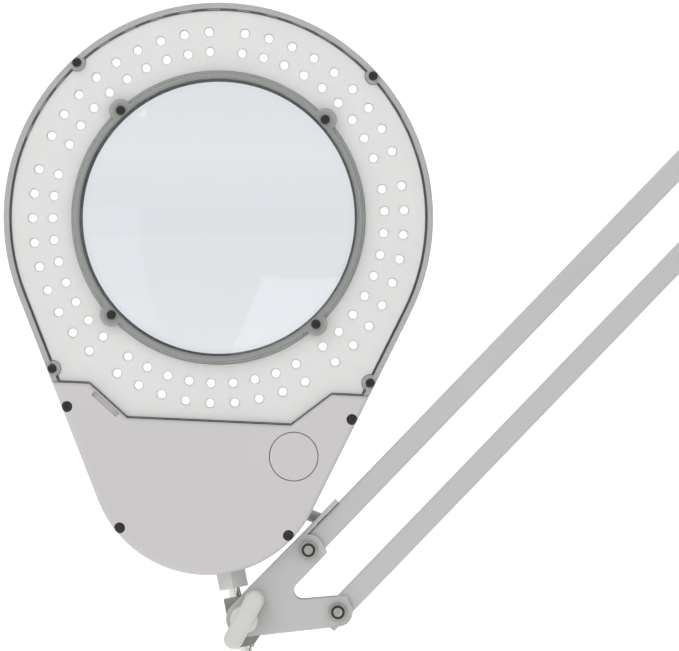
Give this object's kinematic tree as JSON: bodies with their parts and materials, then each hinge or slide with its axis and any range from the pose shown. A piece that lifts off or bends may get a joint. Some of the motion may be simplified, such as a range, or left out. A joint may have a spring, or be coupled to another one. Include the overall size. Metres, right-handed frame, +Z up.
{
  "type": "magnifying lamp",
  "caption": "Desk-clamp magnifying lamp with a round lens in a teardrop head ringed by lamps, on a two-part balanced arm of paired square tubes.",
  "frame": {"origin": "centre of the clamp's upper pad, on the face that rests on the desk", "axes": "+Z up, -Y the way the lens faces at rest, +X from the head towards the clamp, the arm lying in the XZ plane"},
  "size_m": [0.4701, 0.04, 0.6372],
  "materials": {
    "grey_arm_paint": "satin",
    "grey_shell_plastic": "satin",
    "light_grey_plastic": "satin",
    "white_board": "satin",
    "lamp_white": "gloss",
    "clear_plastic": "gloss",
    "lens_glass": "gloss",
    "dark_screws": "satin",
    "zinc_steel": "satin",
    "bright_steel": "gloss",
    "dark_steel": "satin",
    "black_rubber": "matte",
    "grey_silicone": "matte",
    "nylon": "satin",
    "circuit_board": "satin",
    "black_plastic": "satin"
  },
  "bodies": {
    "clamp": {"clamp_frame": "grey_arm_paint", "upper_jaw_pad": "black_rubber", "swivel_bush": "nylon"},
    "clamp_pad": {"pressure_disc": "zinc_steel", "pressure_rubber": "black_rubber"},
    "clamp_screw": {"clamp_screw": "zinc_steel"},
    "tommy_bar": {"tommy_bar": "zinc_steel"},
    "base_bracket": {"swivel_pin": "bright_steel", "base_bracket": "grey_arm_paint", "base_bolts": "zinc_steel", "base_nuts": "zinc_steel", "rear_spring_anchor": "zinc_steel"},
    "rear_main_bar": {"rear_main_tube": "grey_arm_paint", "rear_main_bushes": "nylon", "rear_spring_post": "zinc_steel"},
    "rear_link_bar": {"rear_link_tube": "grey_arm_paint", "rear_link_bushes": "nylon"},
    "rear_spring": {"rear_springs": "bright_steel"},
    "rear_hook": {"rear_spring_hooks": "bright_steel"},
    "elbow": {"elbow_front_plate": "grey_arm_paint", "elbow_rear_plate": "grey_arm_paint", "elbow_bolts": "zinc_steel", "elbow_nuts": "zinc_steel", "elbow_spacer": "zinc_steel", "front_spring_anchor": "zinc_steel"},
    "front_main_bar": {"front_main_tube": "grey_arm_paint", "front_main_bushes": "nylon", "front_spring_post": "zinc_steel"},
    "front_link_bar": {"front_link_tube": "grey_arm_paint", "front_link_bushes": "nylon"},
    "front_spring": {"front_springs": "bright_steel"},
    "front_hook": {"front_spring_hooks": "bright_steel"},
    "front_fork": {"fork": "grey_arm_paint", "fork_bolts": "zinc_steel", "fork_nuts": "zinc_steel", "fork_washers": "zinc_steel"},
    "knuckle": {"knuckle_block": "dark_steel", "rear_pivot_screw": "dark_screws"},
    "wing_knob": {"wing_knob": "light_grey_plastic", "wing_screw": "zinc_steel"},
    "head": {"back_shell": "grey_shell_plastic", "clear_cover": "clear_plastic", "lower_cover": "grey_shell_plastic", "small_screws": "dark_screws", "lower_cover_screws": "dark_screws", "lens": "lens_glass", "lens_gasket": "grey_silicone", "lens_ring": "clear_plastic", "lamp_board": "white_board", "lamps": "lamp_white", "lamp_mask": "white_board", "button_spring": "zinc_steel", "switch": "black_plastic", "driver_board": "circuit_board", "driver_parts": "black_plastic", "neck_collar": "light_grey_plastic", "swivel_stud": "bright_steel", "stud_clip": "bright_steel", "cable_gland": "grey_shell_plastic"},
    "button": {"button_cap": "grey_shell_plastic"}
  },
  "joints": [
    {"name": "clamp_pad_slide", "type": "slide", "parent": "clamp", "child": "clamp_pad", "axis": [0, 0, 1], "range_m": [-0.0302, 0.0222]},
    {"name": "clamp_screw_turn", "type": "hinge", "parent": "clamp_pad", "child": "clamp_screw", "pos_m": [0, 0, 0], "axis": [0, 0, 1], "range_deg": [-3600, 2640]},
    {"name": "tommy_bar_slide", "type": "slide", "parent": "clamp_screw", "child": "tommy_bar", "axis": [1, 0, 0], "range_m": [-0.026, 0.026]},
    {"name": "base_swivel", "type": "hinge", "parent": "clamp", "child": "base_bracket", "pos_m": [0, 0, 0], "axis": [0, 0, 1], "continuous": true},
    {"name": "rear_arm_lift", "type": "hinge", "parent": "base_bracket", "child": "rear_main_bar", "pos_m": [0.015, 0, 0.078], "axis": [0, 1, 0], "range_deg": [-40, 15]},
    {"name": "rear_link_swing", "type": "hinge", "parent": "base_bracket", "child": "rear_link_bar", "pos_m": [-0.015, 0, 0.072], "axis": [0, 1, 0], "range_deg": [-41, 16]},
    {"name": "elbow_level", "type": "hinge", "parent": "rear_main_bar", "child": "elbow", "pos_m": [0.05472, 0, 0.45592], "axis": [0, 1, 0], "range_deg": [-16, 41]},
    {"name": "front_arm_lift", "type": "hinge", "parent": "elbow", "child": "front_main_bar", "pos_m": [-0.00528, 0, 0.48392], "axis": [0, 1, 0], "range_deg": [0, 75]},
    {"name": "front_link_swing", "type": "hinge", "parent": "elbow", "child": "front_link_bar", "pos_m": [0.00802, 0, 0.45582], "axis": [0, 1, 0], "range_deg": [-1, 76]},
    {"name": "fork_level", "type": "hinge", "parent": "front_main_bar", "child": "front_fork", "pos_m": [-0.26925, 0, 0.21057], "axis": [0, 1, 0], "range_deg": [-76, 1]},
    {"name": "head_tilt", "type": "hinge", "parent": "front_fork", "child": "knuckle", "pos_m": [-0.29825, 0, 0.17936], "axis": [0, 1, 0], "range_deg": [-100, 0]},
    {"name": "wing_knob_turn", "type": "hinge", "parent": "knuckle", "child": "wing_knob", "pos_m": [-0.29825, 0, 0.17936], "axis": [0, -1, 0], "range_deg": [0, 360]},
    {"name": "head_swivel", "type": "hinge", "parent": "knuckle", "child": "head", "pos_m": [-0.30031, 0, 0.17896], "axis": [-0.1942, 0, 0.981], "range_deg": [0, 180]},
    {"name": "power_button", "type": "slide", "parent": "head", "child": "button", "axis": [0, 1, 0], "range_m": [0, 0.0015], "stiffness_N_per_m": 600, "springref_m": -0.0008, "deforming": ["button_spring"]},
    {"name": "rear_spring_swing", "type": "hinge", "parent": "rear_main_bar", "child": "rear_spring", "pos_m": [0.02754, 0, 0.19734], "axis": [0, 1, 0], "range_deg": [-1.43, 3.65]},
    {"name": "rear_spring_stretch", "type": "slide", "parent": "rear_spring", "child": "rear_hook", "axis": [0.0739, 0, -0.9973], "range_m": [-0.00508, 0.01302], "deforming": ["rear_springs", "rear_spring_hooks"]},
    {"name": "front_spring_swing", "type": "hinge", "parent": "front_main_bar", "child": "front_spring", "pos_m": [-0.08864, 0, 0.3976], "axis": [0, 1, 0], "range_deg": [-1.98, 0.03]},
    {"name": "front_spring_stretch", "type": "slide", "parent": "front_spring", "child": "front_hook", "axis": [0.5963, 0, 0.8028], "range_m": [-0.02682, 0.00035], "deforming": ["front_springs", "front_spring_hooks"]}
  ],
  "couplings": [
    {"joint": "clamp_pad_slide", "follows": "clamp_screw_turn", "m_per_rad": 0.00047746},
    {"joint": "rear_link_swing", "follows": "rear_arm_lift", "ratio": 1},
    {"joint": "elbow_level", "follows": "rear_arm_lift", "ratio": -1},
    {"joint": "rear_spring_swing", "follows": "rear_arm_lift", "ratio": -0.089096},
    {"joint": "rear_spring_stretch", "follows": "rear_arm_lift", "m_per_rad": -0.018198},
    {"joint": "front_link_swing", "follows": "front_arm_lift", "ratio": 1},
    {"joint": "fork_level", "follows": "front_arm_lift", "ratio": -1},
    {"joint": "front_spring_swing", "follows": "front_arm_lift", "ratio": -0.025988},
    {"joint": "front_spring_stretch", "follows": "front_arm_lift", "m_per_rad": -0.020221}
  ]
}
